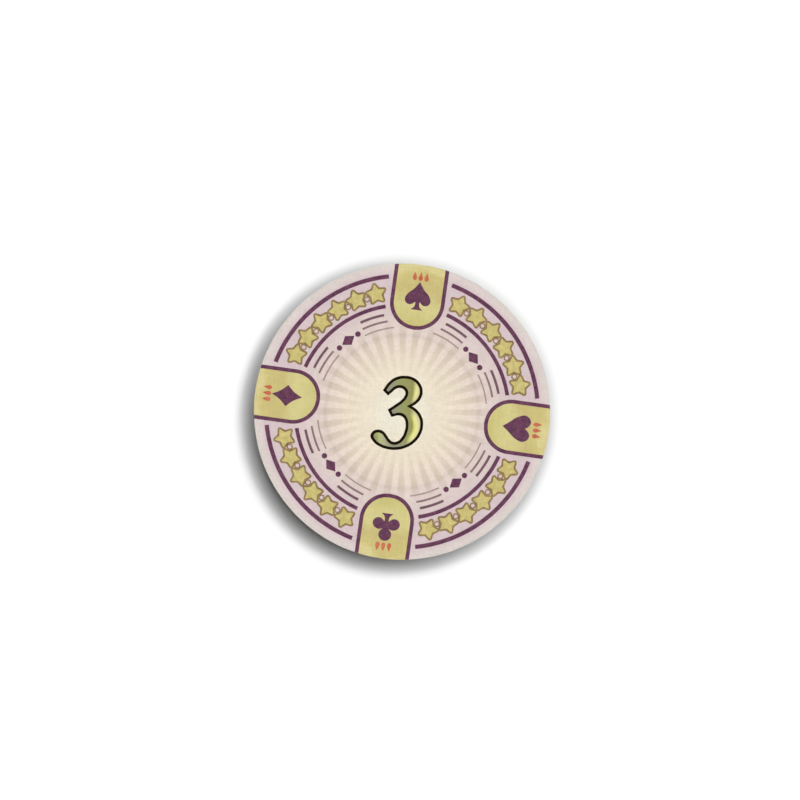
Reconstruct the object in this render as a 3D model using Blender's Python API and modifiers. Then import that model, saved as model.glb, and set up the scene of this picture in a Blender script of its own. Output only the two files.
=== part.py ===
"""Poker chip: a steel weight closed between two moulded shells, each faced with a printed film.

Metres, +Z up. The chip lies on its back face. The origin is the centre of that face, +Z runs out
through the front face and +Y points to the top of the print.
"""

from math import cos, pi, radians, sin

import bmesh
import bpy
from mathutils import Matrix

MM = 0.001

# Whole chip
CHIP_DIAMETER = 39.0 * MM
CHIP_THICKNESS = 3.3 * MM
SHOULDER_RADIUS = 0.35 * MM

# Printed film on each face, formed over the shoulder
FILM_THICKNESS = 0.2 * MM
BOND_LINE = 0.03 * MM

# Steel weight
WEIGHT_DIAMETER = 27.0 * MM
WEIGHT_THICKNESS = 1.5 * MM
WEIGHT_EDGE_BREAK = 0.15 * MM

# Tongue and groove between the shells
MOULD_CLEARANCE = 0.05 * MM
TONGUE_WIDTH = 1.3 * MM
TONGUE_HEIGHT = 0.45 * MM
TONGUE_DRAFT = 0.1 * MM
PARTING_CHAMFER = 0.08 * MM

# Pins that pass through the weight and key it to the shells
PIN_COUNT = 6
PIN_CIRCLE_DIAMETER = 17.0 * MM
PIN_DIAMETER = 2.6 * MM
PIN_DRAFT = 0.08 * MM

# Facets
TURN_STEPS = 96
SHOULDER_STEPS = 5
PIN_SIDES = 24
SHARP_ANGLE = radians(35)
MERGE_DISTANCE = 0.001 * MM

# Finishes: linear colour, roughness and metallic value
STEEL_FINISH = ((0.55, 0.55, 0.56), 0.45, 1.0)
RESIN_FINISH = ((0.70, 0.66, 0.62), 0.55, 0.0)
PRINT_FINISH = ((0.75, 0.64, 0.63), 0.42, 0.0)

# Sizes that follow from the ones above. Heights are counted from the middle of the chip.
RIM_RADIUS = CHIP_DIAMETER / 2
FACE_HEIGHT = CHIP_THICKNESS / 2
SHELL_INSET = FILM_THICKNESS + BOND_LINE
LEDGE_HEIGHT = FACE_HEIGHT - SHOULDER_RADIUS - BOND_LINE
LAND_HEIGHT = BOND_LINE / 2
POCKET_RADIUS = WEIGHT_DIAMETER / 2 + MOULD_CLEARANCE
POCKET_DEPTH = WEIGHT_THICKNESS / 2 + MOULD_CLEARANCE
WEB_THICKNESS = FACE_HEIGHT - SHELL_INSET - POCKET_DEPTH
SOCKET_DEPTH = WEB_THICKNESS / 2
KEYHOLE_RADIUS = PIN_DIAMETER / 2 + MOULD_CLEARANCE
TONGUE_MIDDLE = (POCKET_RADIUS + RIM_RADIUS) / 2


def new_collection(name):
    """A collection linked to the scene."""
    collection = bpy.data.collections.new(name)
    bpy.context.scene.collection.children.link(collection)
    return collection


def finish(name, colour, roughness, metallic):
    """A plain surface of one colour."""
    material = bpy.data.materials.new(name)
    material.use_nodes = True
    shader = material.node_tree.nodes["Principled BSDF"]
    shader.inputs["Base Color"].default_value = (*colour, 1.0)
    shader.inputs["Roughness"].default_value = roughness
    shader.inputs["Metallic"].default_value = metallic
    return material


def place(name, mesh, collection, half):
    """An object for the mesh, carried by the empty of its half of the chip."""
    piece = bpy.data.objects.new(name, mesh)
    collection.objects.link(piece)
    piece.parent = half
    return piece


def turned(name, profile):
    """A solid of revolution about Z, from (radius, height) points that run down its outer side."""
    outline = bpy.data.meshes.new(name + "_profile")
    points = [(radius, 0.0, height) for radius, height in profile]
    outline.from_pydata(points, [(i, i + 1) for i in range(len(points) - 1)], [])
    blank = bpy.data.objects.new(name + "_blank", outline)
    bpy.context.scene.collection.objects.link(blank)
    screw = blank.modifiers.new("Turn", "SCREW")
    screw.axis = "Z"
    screw.angle = 2 * pi
    screw.steps = TURN_STEPS
    screw.render_steps = TURN_STEPS
    screw.use_merge_vertices = True
    screw.merge_threshold = MERGE_DISTANCE
    evaluated = blank.evaluated_get(bpy.context.evaluated_depsgraph_get())
    mesh = bpy.data.meshes.new_from_object(evaluated)
    mesh.name = name
    mesh.shade_smooth()
    mesh.set_sharp_from_angle(angle=SHARP_ANGLE)
    bpy.data.objects.remove(blank)
    bpy.data.meshes.remove(outline)
    return mesh


def ring_of_pegs(name, low_height, high_height, low_radius, high_radius):
    """Round pegs standing side by side on the keying circle."""
    mesh = bpy.data.meshes.new(name)
    pegs = bmesh.new()
    middle = (low_height + high_height) / 2
    for i in range(PIN_COUNT):
        angle = 2 * pi * i / PIN_COUNT
        along = PIN_CIRCLE_DIAMETER / 2
        bmesh.ops.create_cone(
            pegs,
            cap_ends=True,
            segments=PIN_SIDES,
            radius1=low_radius,
            radius2=high_radius,
            depth=high_height - low_height,
            matrix=Matrix.Translation((along * cos(angle), along * sin(angle), middle)),
        )
    pegs.to_mesh(mesh)
    pegs.free()
    mesh.shade_smooth()
    mesh.set_sharp_from_angle(angle=SHARP_ANGLE)
    return mesh


def combine(piece, operation, mesh, collection):
    """Cuts the mesh out of the piece, or joins it on, with a guide object that isn't a piece itself."""
    guide = place(mesh.name, mesh, collection, piece.parent)
    guide.hide_render = True
    guide.display_type = "WIRE"
    boolean = piece.modifiers.new(mesh.name, "BOOLEAN")
    boolean.operation = operation
    boolean.object = guide


def shoulder(radius):
    """The rounding from face to rim, as profile points at a radius about the shoulder's centre."""
    middle = RIM_RADIUS - SHOULDER_RADIUS
    height = FACE_HEIGHT - SHOULDER_RADIUS
    angles = [pi / 2 * (1 - i / SHOULDER_STEPS) for i in range(SHOULDER_STEPS + 1)]
    return [(middle + radius * cos(a), height + radius * sin(a)) for a in angles]


def film_profile():
    """A sheet of even thickness that lies on the face and wraps the shoulder."""
    outside = shoulder(SHOULDER_RADIUS)
    inside = shoulder(SHOULDER_RADIUS - FILM_THICKNESS)
    inside.reverse()
    return [(0.0, FACE_HEIGHT), *outside, *inside, (0.0, FACE_HEIGHT - FILM_THICKNESS)]


def shell_profile(joint):
    """Half of the body: film seat, ledge under the film's edge, rim wall, joint and weight pocket."""
    return [
        (0.0, FACE_HEIGHT - SHELL_INSET),
        *shoulder(SHOULDER_RADIUS - SHELL_INSET),
        (RIM_RADIUS - SHELL_INSET, LEDGE_HEIGHT),
        (RIM_RADIUS, LEDGE_HEIGHT),
        (RIM_RADIUS, LAND_HEIGHT + PARTING_CHAMFER),
        (RIM_RADIUS - PARTING_CHAMFER, LAND_HEIGHT),
        *joint,
        (POCKET_RADIUS, LAND_HEIGHT),
        (POCKET_RADIUS, POCKET_DEPTH),
        (0.0, POCKET_DEPTH),
    ]


def joint_profile(side_gap, tip_height):
    """The four corners of the tongue, or of its groove, from the outer root to the inner root."""
    root = TONGUE_WIDTH / 2 + side_gap
    tip = root - TONGUE_DRAFT
    return [
        (TONGUE_MIDDLE + root, LAND_HEIGHT),
        (TONGUE_MIDDLE + tip, tip_height),
        (TONGUE_MIDDLE - tip, tip_height),
        (TONGUE_MIDDLE - root, LAND_HEIGHT),
    ]


def weight_profile():
    """A flat disc with its stamped edges broken."""
    radius = WEIGHT_DIAMETER / 2
    half = WEIGHT_THICKNESS / 2
    return [
        (0.0, half),
        (radius - WEIGHT_EDGE_BREAK, half),
        (radius, half - WEIGHT_EDGE_BREAK),
        (radius, WEIGHT_EDGE_BREAK - half),
        (radius - WEIGHT_EDGE_BREAK, -half),
        (0.0, -half),
    ]


for leftover in list(bpy.data.objects):
    bpy.data.objects.remove(leftover)

chip = new_collection("poker_chip")
cutters = new_collection("cutters")

# One empty for each half, both at the middle of the chip. The back half is turned over.
front_half = place("front_half", None, chip, None)
front_half.location.z = FACE_HEIGHT
back_half = place("back_half", None, chip, None)
back_half.location.z = FACE_HEIGHT
back_half.rotation_euler.x = pi

# Weight: a stamped disc with a ring of keyholes
weight = place("weight_slug", turned("weight_slug", weight_profile()), chip, front_half)
weight.data.materials.append(finish("stamped_steel", *STEEL_FINISH))
keyholes = ring_of_pegs("keyholes", -POCKET_DEPTH, POCKET_DEPTH, KEYHOLE_RADIUS, KEYHOLE_RADIUS)
combine(weight, "DIFFERENCE", keyholes, cutters)

# Front shell: pocket, tongue, and pins that reach through the weight
tongue = joint_profile(0.0, -TONGUE_HEIGHT)
front_shell = place("front_shell", turned("front_shell", shell_profile(tongue)), chip, front_half)
front_shell.data.materials.append(finish("front_resin", *RESIN_FINISH))
pin_tip = MOULD_CLEARANCE - POCKET_DEPTH - SOCKET_DEPTH
pin_root = POCKET_DEPTH + WEB_THICKNESS / 2
pin_radius = PIN_DIAMETER / 2
pins = ring_of_pegs("pins", pin_tip, pin_root, pin_radius - PIN_DRAFT, pin_radius)
combine(front_shell, "UNION", pins, cutters)

# Back shell: pocket, groove, and sockets for the tips of the pins
groove = joint_profile(MOULD_CLEARANCE, TONGUE_HEIGHT + MOULD_CLEARANCE)
back_shell = place("back_shell", turned("back_shell", shell_profile(groove)), chip, back_half)
back_shell.data.materials.append(finish("back_resin", *RESIN_FINISH))
socket_floor = POCKET_DEPTH + SOCKET_DEPTH
sockets = ring_of_pegs("sockets", LAND_HEIGHT, socket_floor, KEYHOLE_RADIUS, KEYHOLE_RADIUS)
combine(back_shell, "DIFFERENCE", sockets, cutters)

# Films: the same formed sheet on both faces
for name, half in (("front_print_film", front_half), ("back_print_film", back_half)):
    film = place(name, turned(name, film_profile()), chip, half)
    film.data.materials.append(finish(name, *PRINT_FINISH))
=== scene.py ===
"""The finished look of the poker chip on a white studio floor: steel weight, resin shells, printed films
and the print, each ink a thin raised layer. Metres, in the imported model's frame: the chip lies on z = 0
and +Y runs to the top of the print.
"""

from math import acos, asin, cos, hypot, pi, radians, sin

import bmesh
import bpy
from mathutils import Matrix, Vector


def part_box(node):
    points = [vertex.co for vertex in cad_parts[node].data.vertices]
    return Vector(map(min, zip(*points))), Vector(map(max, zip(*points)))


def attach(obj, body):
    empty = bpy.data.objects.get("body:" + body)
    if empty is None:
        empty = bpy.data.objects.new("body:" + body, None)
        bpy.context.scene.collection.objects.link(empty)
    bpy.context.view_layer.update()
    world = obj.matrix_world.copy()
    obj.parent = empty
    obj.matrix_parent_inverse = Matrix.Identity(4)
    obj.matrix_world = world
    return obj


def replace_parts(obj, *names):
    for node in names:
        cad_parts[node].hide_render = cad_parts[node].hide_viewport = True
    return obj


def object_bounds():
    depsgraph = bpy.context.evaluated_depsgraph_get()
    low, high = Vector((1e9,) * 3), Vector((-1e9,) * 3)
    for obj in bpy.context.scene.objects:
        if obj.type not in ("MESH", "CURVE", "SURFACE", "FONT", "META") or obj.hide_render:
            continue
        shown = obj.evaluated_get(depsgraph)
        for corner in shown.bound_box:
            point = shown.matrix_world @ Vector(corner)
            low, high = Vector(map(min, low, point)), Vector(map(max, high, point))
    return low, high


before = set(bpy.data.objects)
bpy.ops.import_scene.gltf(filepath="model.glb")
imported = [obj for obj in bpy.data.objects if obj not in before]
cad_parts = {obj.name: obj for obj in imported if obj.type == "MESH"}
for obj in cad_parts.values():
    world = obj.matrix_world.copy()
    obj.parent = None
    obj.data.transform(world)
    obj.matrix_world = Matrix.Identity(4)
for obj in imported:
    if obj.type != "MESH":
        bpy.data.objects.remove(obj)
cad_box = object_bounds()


# Weight: a disc stamped from rolled steel strip, with six keyholes. The pins of the front shell pass
# through them, and the welded shells close it in, so it shows only when a chip is cut open.

MM = 0.001
NOISE_SPAN = (0.3, 0.7)
ROLLING_LINE = 0.06 * MM
ROLLING_LENGTH = 3.0 * MM
STEEL_DARK = (0.42, 0.42, 0.43)
STEEL_BRIGHT = (0.60, 0.60, 0.61)
STEEL_ROUGHNESS = (0.5, 0.36)


def add(tree, kind, inputs=None, **options):
    """A new node. Its inputs are values, nodes, sockets or lists of them, by socket name or number."""
    node = tree.nodes.new(kind)
    for option, value in options.items():
        setattr(node, option, value)
    for socket, given in (inputs or {}).items():
        for value in given if isinstance(given, list) else [given]:
            if isinstance(value, bpy.types.Node):
                value = value.outputs[0]
            if isinstance(value, bpy.types.NodeSocket):
                tree.links.new(value, node.inputs[socket])
            else:
                node.inputs[socket].default_value = value
    return node


def maths(tree, operation, *values):
    """One step of arithmetic, for a shader or a shape."""
    return add(tree, "ShaderNodeMath", dict(enumerate(values)), operation=operation)


def spread(tree, value, low, high, to_low=0.0, to_high=1.0, ease="LINEAR"):
    """Takes a value from one range into another, and holds it there."""
    ranges = {"Value": value, "From Min": low, "From Max": high, "To Min": to_low, "To Max": to_high}
    return add(tree, "ShaderNodeMapRange", ranges, interpolation_type=ease)


def ramp(tree, factor, *stops):
    """Blends from colour to colour as a factor goes from 0 to 1."""
    node = add(tree, "ShaderNodeValToRGB", {"Fac": factor})
    elements = node.color_ramp.elements
    elements.remove(elements[1])
    for number, (place, colour) in enumerate(stops):
        element = elements.new(place) if number else elements[0]
        element.position = place
        element.color = (*colour, 1.0)
    return node


def noise(tree, spot, grain, detail=2.0, stretch=(1.0, 1.0, 1.0)):
    """Random shade with blots about as wide as the grain, and longer where the stretch is larger."""
    scale = tuple(1.0 / (grain * longer) for longer in stretch)
    place = add(tree, "ShaderNodeMapping", {"Vector": spot, "Scale": scale})
    return add(tree, "ShaderNodeTexNoise", {"Vector": place, "Scale": 1.0, "Detail": detail})


def blotted(tree, shade, deep, light, span=NOISE_SPAN):
    """Blends between two colours over the span of values that a noise keeps to."""
    return ramp(tree, shade, (span[0], deep), (span[1], light))


def new_finish(name):
    """A material with its node tree, its shader and the socket for the place on the piece."""
    material = bpy.data.materials.new(name)
    material.use_nodes = True
    tree = material.node_tree
    spot = add(tree, "ShaderNodeTexCoord").outputs["Object"]
    return material, tree, tree.nodes["Principled BSDF"], spot


def wire(tree, shader, **looks):
    """Joins worked-out looks to the shader."""
    for look, node in looks.items():
        tree.links.new(node.outputs[0], shader.inputs[look.replace("_", " ")])


stamped_steel, tree, shader, spot = new_finish("stamped_steel")
rolling = noise(tree, spot, ROLLING_LINE, detail=3.0, stretch=(ROLLING_LENGTH / ROLLING_LINE, 1.0, 1.0))
shader.inputs["Metallic"].default_value = 1.0
wire(
    tree,
    shader,
    Base_Color=blotted(tree, rolling, STEEL_DARK, STEEL_BRIGHT),
    Roughness=spread(tree, rolling, *NOISE_SPAN, *STEEL_ROUGHNESS),
)
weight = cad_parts["weight_slug"]
weight.material_slots[0].material = stamped_steel


# Shells: two halves moulded in filled resin, with the pocket for the weight between them. The pins of the
# front half pass through the weight into sockets of the back half, and a tongue and groove is welded all
# round. Between the films only the rim shows, with the parting line along its middle.

RIM_RADIUS = cad_box[1].x
CHIP_THICKNESS = cad_box[1].z
MIDDLE = CHIP_THICKNESS / 2
SHOULDER_RADIUS = CHIP_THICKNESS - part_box("front_print_film")[0].z
FILM_THICKNESS = 0.2 * MM
BOND_LINE = 0.03 * MM
CORNER_BREAK = 0.04 * MM
CORNER_BULGE = 0.3
PARTING_CHAMFER = 0.08 * MM
POCKET_RADIUS = 13.55 * MM
POCKET_DEPTH = 0.8 * MM
TONGUE_RADIUS = (POCKET_RADIUS + RIM_RADIUS) / 2
TONGUE_WIDTH = 1.3 * MM
TONGUE_HEIGHT = 0.45 * MM
TONGUE_DRAFT = 0.1 * MM
MOULD_CLEARANCE = 0.05 * MM
PIN_COUNT = 6
PIN_CIRCLE_RADIUS = 8.5 * MM
PIN_RADIUS = 1.3 * MM
PIN_DRAFT = 0.08 * MM
PIN_SIDES = 48
STEPS_ROUND = 384
SHOULDER_STEPS = 20
SHARP_ANGLE = radians(35)
MERGE_DISTANCE = 0.0001 * MM
TURNED_OVER = Matrix.Translation((0.0, 0.0, CHIP_THICKNESS)) @ Matrix.Rotation(pi, 4, "X")
RESIN_SPECK = 0.09 * MM
RESIN_CLOUD = 2.5 * MM
RESIN_RELIEF = 0.003 * MM
RESIN_BUMP = 0.6
RESIN_ROUGHNESS = (0.62, 0.5)
SPECK_SHARE = 0.45


def tint(red, green, blue):
    """Linear colour from levels of 0 to 255."""
    return tuple(((level / 255 + 0.055) / 1.055) ** 2.4 for level in (red, green, blue))


def shape_tree(name, inputs):
    """A Geometry Nodes tree, and the sockets of its named inputs, which start at the given values."""
    kinds = {float: "Float", int: "Int", type(None): "Geometry", bpy.types.Material: "Material"}
    tree = bpy.data.node_groups.new(name, "GeometryNodeTree")
    for label, value in inputs.items():
        socket_type = "NodeSocket" + kinds[type(value)]
        socket = tree.interface.new_socket(label, in_out="INPUT", socket_type=socket_type)
        if value is not None:
            socket.default_value = value
    tree.interface.new_socket("Shape", in_out="OUTPUT", socket_type="NodeSocketGeometry")
    return tree, tree.nodes.new("NodeGroupInput").outputs


def give(tree, shape):
    """What a tree hands on."""
    add(tree, "NodeGroupOutput", {"Shape": shape})


def close_tree(tree, shape, material):
    """The end of a piece's tree: one mesh, in its finish."""
    solid = add(tree, "GeometryNodeRealizeInstances", {"Geometry": shape})
    give(tree, add(tree, "GeometryNodeSetMaterial", {"Geometry": solid, "Material": material}))


def use(tree, group, inputs):
    """Another tree as one step of this one."""
    return add(tree, "GeometryNodeGroup", inputs, node_tree=group)


def vector(tree, **parts):
    """A place, an offset or a turn, from its X, Y and Z."""
    return add(tree, "ShaderNodeCombineXYZ", parts)


def swung(tree, point, angle):
    """A point turned about Z."""
    return add(tree, "ShaderNodeVectorRotate", {"Vector": point, "Angle": angle}, rotation_type="Z_AXIS")


def moved(tree, shape, place):
    """A shape with each of its points at a new place."""
    return add(tree, "GeometryNodeSetPosition", {"Geometry": shape, "Position": place})


def shifted(tree, shape, offset):
    """A shape moved as a whole."""
    return add(tree, "GeometryNodeTransform", {"Geometry": shape, "Translation": offset})


def merged(tree, shape):
    """A shape whose points that fall on one another are one."""
    return add(tree, "GeometryNodeMergeByDistance", {"Geometry": shape, "Distance": MERGE_DISTANCE})


def settled(name, blank):
    """The mesh of an object with its modifiers applied. The object itself goes."""
    evaluated = blank.evaluated_get(bpy.context.evaluated_depsgraph_get())
    mesh = bpy.data.meshes.new_from_object(evaluated)
    mesh.name = name
    solid = bmesh.new()
    solid.from_mesh(mesh)
    bmesh.ops.recalc_face_normals(solid, faces=solid.faces)
    solid.to_mesh(mesh)
    solid.free()
    mesh.shade_smooth()
    mesh.set_sharp_from_angle(angle=SHARP_ANGLE)
    bpy.data.objects.remove(blank)
    return mesh


def blank_for(name, mesh):
    """An object that carries a mesh while it is worked on."""
    blank = bpy.data.objects.new(name, mesh)
    bpy.context.scene.collection.objects.link(blank)
    return blank


def grown(name, tree, sizes=None, start=None):
    """The mesh that a tree makes with the given sizes, from a starting mesh where it needs one."""
    blank = blank_for(name, start or bpy.data.meshes.new(name))
    modifier = blank.modifiers.new(tree.name, "NODES")
    modifier.node_group = tree
    for socket in tree.interface.items_tree:
        if socket.in_out == "INPUT" and socket.name in (sizes or {}):
            modifier[socket.identifier] = sizes[socket.name]
    return settled(name, blank)


def show(name, mesh):
    """The finished piece, carried by the chip."""
    piece = bpy.data.objects.new(name, mesh)
    bpy.context.scene.collection.objects.link(piece)
    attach(piece, "root")
    return piece


filled_resin, tree, shader, spot = new_finish("filled_resin")
cloud = noise(tree, spot, RESIN_CLOUD, detail=3.0)
speck = noise(tree, spot, RESIN_SPECK)
shade = maths(tree, "MULTIPLY_ADD", speck, SPECK_SHARE, maths(tree, "MULTIPLY", cloud, 1.0 - SPECK_SHARE))
moulded = {"Height": speck, "Strength": RESIN_BUMP, "Distance": RESIN_RELIEF}
wire(
    tree,
    shader,
    Base_Color=blotted(tree, shade, tint(204, 197, 190), tint(226, 220, 213)),
    Roughness=spread(tree, speck, *NOISE_SPAN, *RESIN_ROUGHNESS),
    Normal=add(tree, "ShaderNodeBump", moulded),
)

# A turned piece: points at (radius, 0, height) swept round Z
turned = {"Profile": None, "Steps round": STEPS_ROUND, "Finish": filled_resin}
turning, size = shape_tree("turn_on_axis", turned)
points = add(turning, "GeometryNodeAttributeDomainSize", {"Geometry": size["Profile"]}, component="MESH")
columns = maths(turning, "ADD", size["Steps round"], 1.0)
sheet = add(turning, "GeometryNodeMeshGrid", {"Vertices X": points, "Vertices Y": columns})
number = add(turning, "GeometryNodeInputIndex")
row = maths(turning, "FLOOR", maths(turning, "DIVIDE", maths(turning, "ADD", number, 0.5), columns))
column = maths(turning, "SUBTRACT", number, maths(turning, "MULTIPLY", row, columns))
point = add(
    turning,
    "GeometryNodeSampleIndex",
    {"Geometry": size["Profile"], "Value": add(turning, "GeometryNodeInputPosition"), "Index": row},
    data_type="FLOAT_VECTOR",
)
turn = maths(turning, "MULTIPLY", column, maths(turning, "DIVIDE", 2 * pi, size["Steps round"]))
skin = merged(turning, moved(turning, sheet, swung(turning, point, turn)))
close_tree(turning, skin, size["Finish"])

# Copies turned about Z by equal steps
fan, size = shape_tree("fan_out", {"Shape": None, "Count": 4, "First": 0.0, "Pitch": pi / 2})
places = add(fan, "GeometryNodePoints", {"Count": size["Count"]})
number = add(fan, "GeometryNodeInputIndex")
turn = vector(fan, Z=maths(fan, "MULTIPLY_ADD", number, size["Pitch"], size["First"]))
copies = {"Points": places, "Instance": size["Shape"], "Rotation": turn}
copies = add(fan, "GeometryNodeInstanceOnPoints", copies)
give(fan, add(fan, "GeometryNodeRealizeInstances", {"Geometry": copies}))

# Round pegs on the keying circle, for the pins and for the sockets
pegs, size = shape_tree(
    "peg_ring",
    {"Foot radius": PIN_RADIUS, "Tip radius": PIN_RADIUS, "Foot": 0.0, "Tip": 0.0, "Finish": filled_resin},
)
peg = add(
    pegs,
    "GeometryNodeMeshCone",
    {
        "Vertices": PIN_SIDES,
        "Radius Bottom": size["Tip radius"],
        "Radius Top": size["Foot radius"],
        "Depth": maths(pegs, "SUBTRACT", size["Foot"], size["Tip"]),
    },
)
peg = shifted(pegs, peg, vector(pegs, X=PIN_CIRCLE_RADIUS, Z=size["Tip"]))
ring = use(pegs, fan, {"Shape": peg, "Count": PIN_COUNT, "Pitch": 2 * pi / PIN_COUNT})
close_tree(pegs, ring, size["Finish"])


def shoulder(radius):
    """The rounding from face to rim, at a radius about its centre. Heights start at the chip's middle."""
    angles = [pi / 2 * (1 - i / SHOULDER_STEPS) for i in range(SHOULDER_STEPS + 1)]
    centre = (RIM_RADIUS - SHOULDER_RADIUS, MIDDLE - SHOULDER_RADIUS)
    return [(centre[0] + radius * cos(a), centre[1] + radius * sin(a)) for a in angles]


def shell_profile(side_gap, tip_height):
    """Half of the body: film seat, ledge under the film's edge, rim, tongue or groove, and pocket."""
    inset = FILM_THICKNESS + BOND_LINE
    ledge = MIDDLE - SHOULDER_RADIUS - BOND_LINE
    bulge = CORNER_BREAK * CORNER_BULGE
    land = BOND_LINE / 2
    root = TONGUE_WIDTH / 2 + side_gap
    tip = root - TONGUE_DRAFT
    return [
        (0.0, MIDDLE - inset),
        *shoulder(SHOULDER_RADIUS - inset),
        (RIM_RADIUS - inset, ledge),
        (RIM_RADIUS - CORNER_BREAK, ledge),
        (RIM_RADIUS - bulge, ledge - bulge),
        (RIM_RADIUS, ledge - CORNER_BREAK),
        (RIM_RADIUS, land + PARTING_CHAMFER),
        (RIM_RADIUS - PARTING_CHAMFER, land),
        (TONGUE_RADIUS + root, land),
        (TONGUE_RADIUS + tip, tip_height),
        (TONGUE_RADIUS - tip, tip_height),
        (TONGUE_RADIUS - root, land),
        (POCKET_RADIUS, land),
        (POCKET_RADIUS, POCKET_DEPTH),
        (0.0, POCKET_DEPTH),
    ]


def keyed_shell(name, profile, operation, keys):
    """A turned half with its pins joined on or its sockets cut, at its place in the front of the chip."""
    line = bpy.data.meshes.new(name + "_profile")
    line.from_pydata([(radius, 0.0, height) for radius, height in profile], [], [])
    blank = blank_for(name, grown(name, turning, start=line))
    keys = blank_for(name + "_keys", keys)
    boolean = blank.modifiers.new("keys", "BOOLEAN")
    boolean.operation = operation
    boolean.object = keys
    mesh = settled(name, blank)
    bpy.data.objects.remove(keys)
    mesh.transform(Matrix.Translation((0.0, 0.0, MIDDLE)))
    return mesh


web = MIDDLE - FILM_THICKNESS - BOND_LINE - POCKET_DEPTH
pin_foot = POCKET_DEPTH + web / 2
pin_tip = MOULD_CLEARANCE - pin_foot
pins = {"Foot": pin_foot, "Tip": pin_tip, "Tip radius": PIN_RADIUS - PIN_DRAFT}
tongued = shell_profile(0.0, -TONGUE_HEIGHT)
front_shell = keyed_shell("front_shell_body", tongued, "UNION", grown("pins", pegs, pins))
socket_radius = PIN_RADIUS + MOULD_CLEARANCE
sockets = {"Foot": pin_foot, "Tip": 0.0, "Tip radius": socket_radius, "Foot radius": socket_radius}
grooved = shell_profile(MOULD_CLEARANCE, TONGUE_HEIGHT + MOULD_CLEARANCE)
back_shell = keyed_shell("back_shell_body", grooved, "DIFFERENCE", grown("sockets", pegs, sockets))
back_shell.transform(TURNED_OVER)
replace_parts(show("front_shell_body", front_shell), "front_shell")
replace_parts(show("back_shell_body", back_shell), "back_shell")


# Films: discs of printed sheet with a satin linen grain, cut flat and then formed down over the shoulder
# of each shell. The ground of the print is lavender, with a cream sunburst in the middle that a faint ring
# closes, and it turns paler close to the edge.

FACE_RADIUS = RIM_RADIUS - SHOULDER_RADIUS
FLAT_RADIUS = FACE_RADIUS + SHOULDER_RADIUS * pi / 2
LINEN_THREAD = 0.16 * MM
LINEN_SLUB = 1.4 * MM
LINEN_RELIEF = 0.0025 * MM
LINEN_BUMP = 0.5
LINEN_SPAN = (0.35, 0.65)
RAY_COUNT = 36
RAY_ANGLE = radians(2.45)
RAY_SOFTNESS = 0.6
RAY_SHADE = (0.855, 0.825, 0.778)
RAYS_FROM = 4.6 * MM
RAYS_FULL = 9.4 * MM
RAYS_FADE = 10.2 * MM
RAYS_END = 12.0 * MM
SOFT_RING = 10.1 * MM
SOFT_RING_HALF_WIDTH = 0.45 * MM
SOFT_RING_SHADE = 0.925
PRINT_CLOUD = 3.0 * MM
CLOUD_SHADE = (0.97, 1.025)
PRINT_MOTTLE = 0.4 * MM
MOTTLE_SHADE = (0.965, 1.03)
GROUND_WEAR = 0.035
PRINT_ROUGHNESS = (0.52, 0.42)
PRINT_GLOSS = 0.12
MAP_SHARE = 0.98


def own_place(tree):
    """X, Y and Z of each point of a shape."""
    return add(tree, "ShaderNodeSeparateXYZ", {0: add(tree, "GeometryNodeInputPosition")}).outputs


# The rule for all that is printed: a flat drawing, formed down over the shoulder
shoulder_sizes = {
    "Face radius": FACE_RADIUS,
    "Shoulder radius": SHOULDER_RADIUS,
    "Face height": CHIP_THICKNESS,
}
forming, size = shape_tree("form_over_shoulder", {"Shape": None, **shoulder_sizes})
flat = own_place(forming)
level = vector(forming, X=flat["X"], Y=flat["Y"])
reach = add(forming, "ShaderNodeVectorMath", {0: level}, operation="LENGTH").outputs["Value"]
beyond = maths(forming, "MAXIMUM", maths(forming, "SUBTRACT", reach, size["Face radius"]), 0.0)
bend = maths(forming, "DIVIDE", beyond, size["Shoulder radius"])
bend_radius = maths(forming, "ADD", size["Shoulder radius"], flat["Z"])
outward = maths(forming, "MULTIPLY", bend_radius, maths(forming, "SINE", bend))
outward = maths(forming, "ADD", maths(forming, "MINIMUM", reach, size["Face radius"]), outward)
stretch = maths(forming, "DIVIDE", outward, maths(forming, "MAXIMUM", reach, MERGE_DISTANCE))
centre_height = maths(forming, "SUBTRACT", size["Face height"], size["Shoulder radius"])
height = maths(forming, "MULTIPLY_ADD", bend_radius, maths(forming, "COSINE", bend), centre_height)
formed_x = maths(forming, "MULTIPLY", flat["X"], stretch)
formed_y = maths(forming, "MULTIPLY", flat["Y"], stretch)
give(forming, moved(forming, size["Shape"], vector(forming, X=formed_x, Y=formed_y, Z=height)))

# A closed layer of even thickness from a flat drawing, formed over the chip
layer, size = shape_tree("formed_layer", {"Drawing": None, "Underside": 0.0, "Thickness": 0.0})
under = shifted(layer, size["Drawing"], vector(layer, Z=size["Underside"]))
upward = {"Mesh": under, "Offset": (0.0, 0.0, 1.0), "Offset Scale": size["Thickness"], "Individual": False}
upper = add(layer, "GeometryNodeExtrudeMesh", upward)
under = add(layer, "GeometryNodeFlipFaces", {"Mesh": under})
closed = merged(layer, add(layer, "GeometryNodeJoinGeometry", {"Geometry": [under, upper]}))
give(layer, use(layer, forming, {"Shape": closed}))

# The grain of the sheet: threads with slubs, both ways
linen = bpy.data.node_groups.new("linen_grain", "ShaderNodeTree")
linen.interface.new_socket("Threads", in_out="OUTPUT", socket_type="NodeSocketFloat")
spot = add(linen, "ShaderNodeTexCoord").outputs["Object"]
weft = noise(linen, spot, LINEN_THREAD, detail=1.0, stretch=(LINEN_SLUB / LINEN_THREAD, 1.0, 1.0))
warp = noise(linen, spot, LINEN_THREAD, detail=1.0, stretch=(1.0, LINEN_SLUB / LINEN_THREAD, 1.0))
threads = maths(linen, "MULTIPLY", maths(linen, "ADD", weft, warp), 0.5)
add(linen, "NodeGroupOutput", {"Threads": threads})


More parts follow.
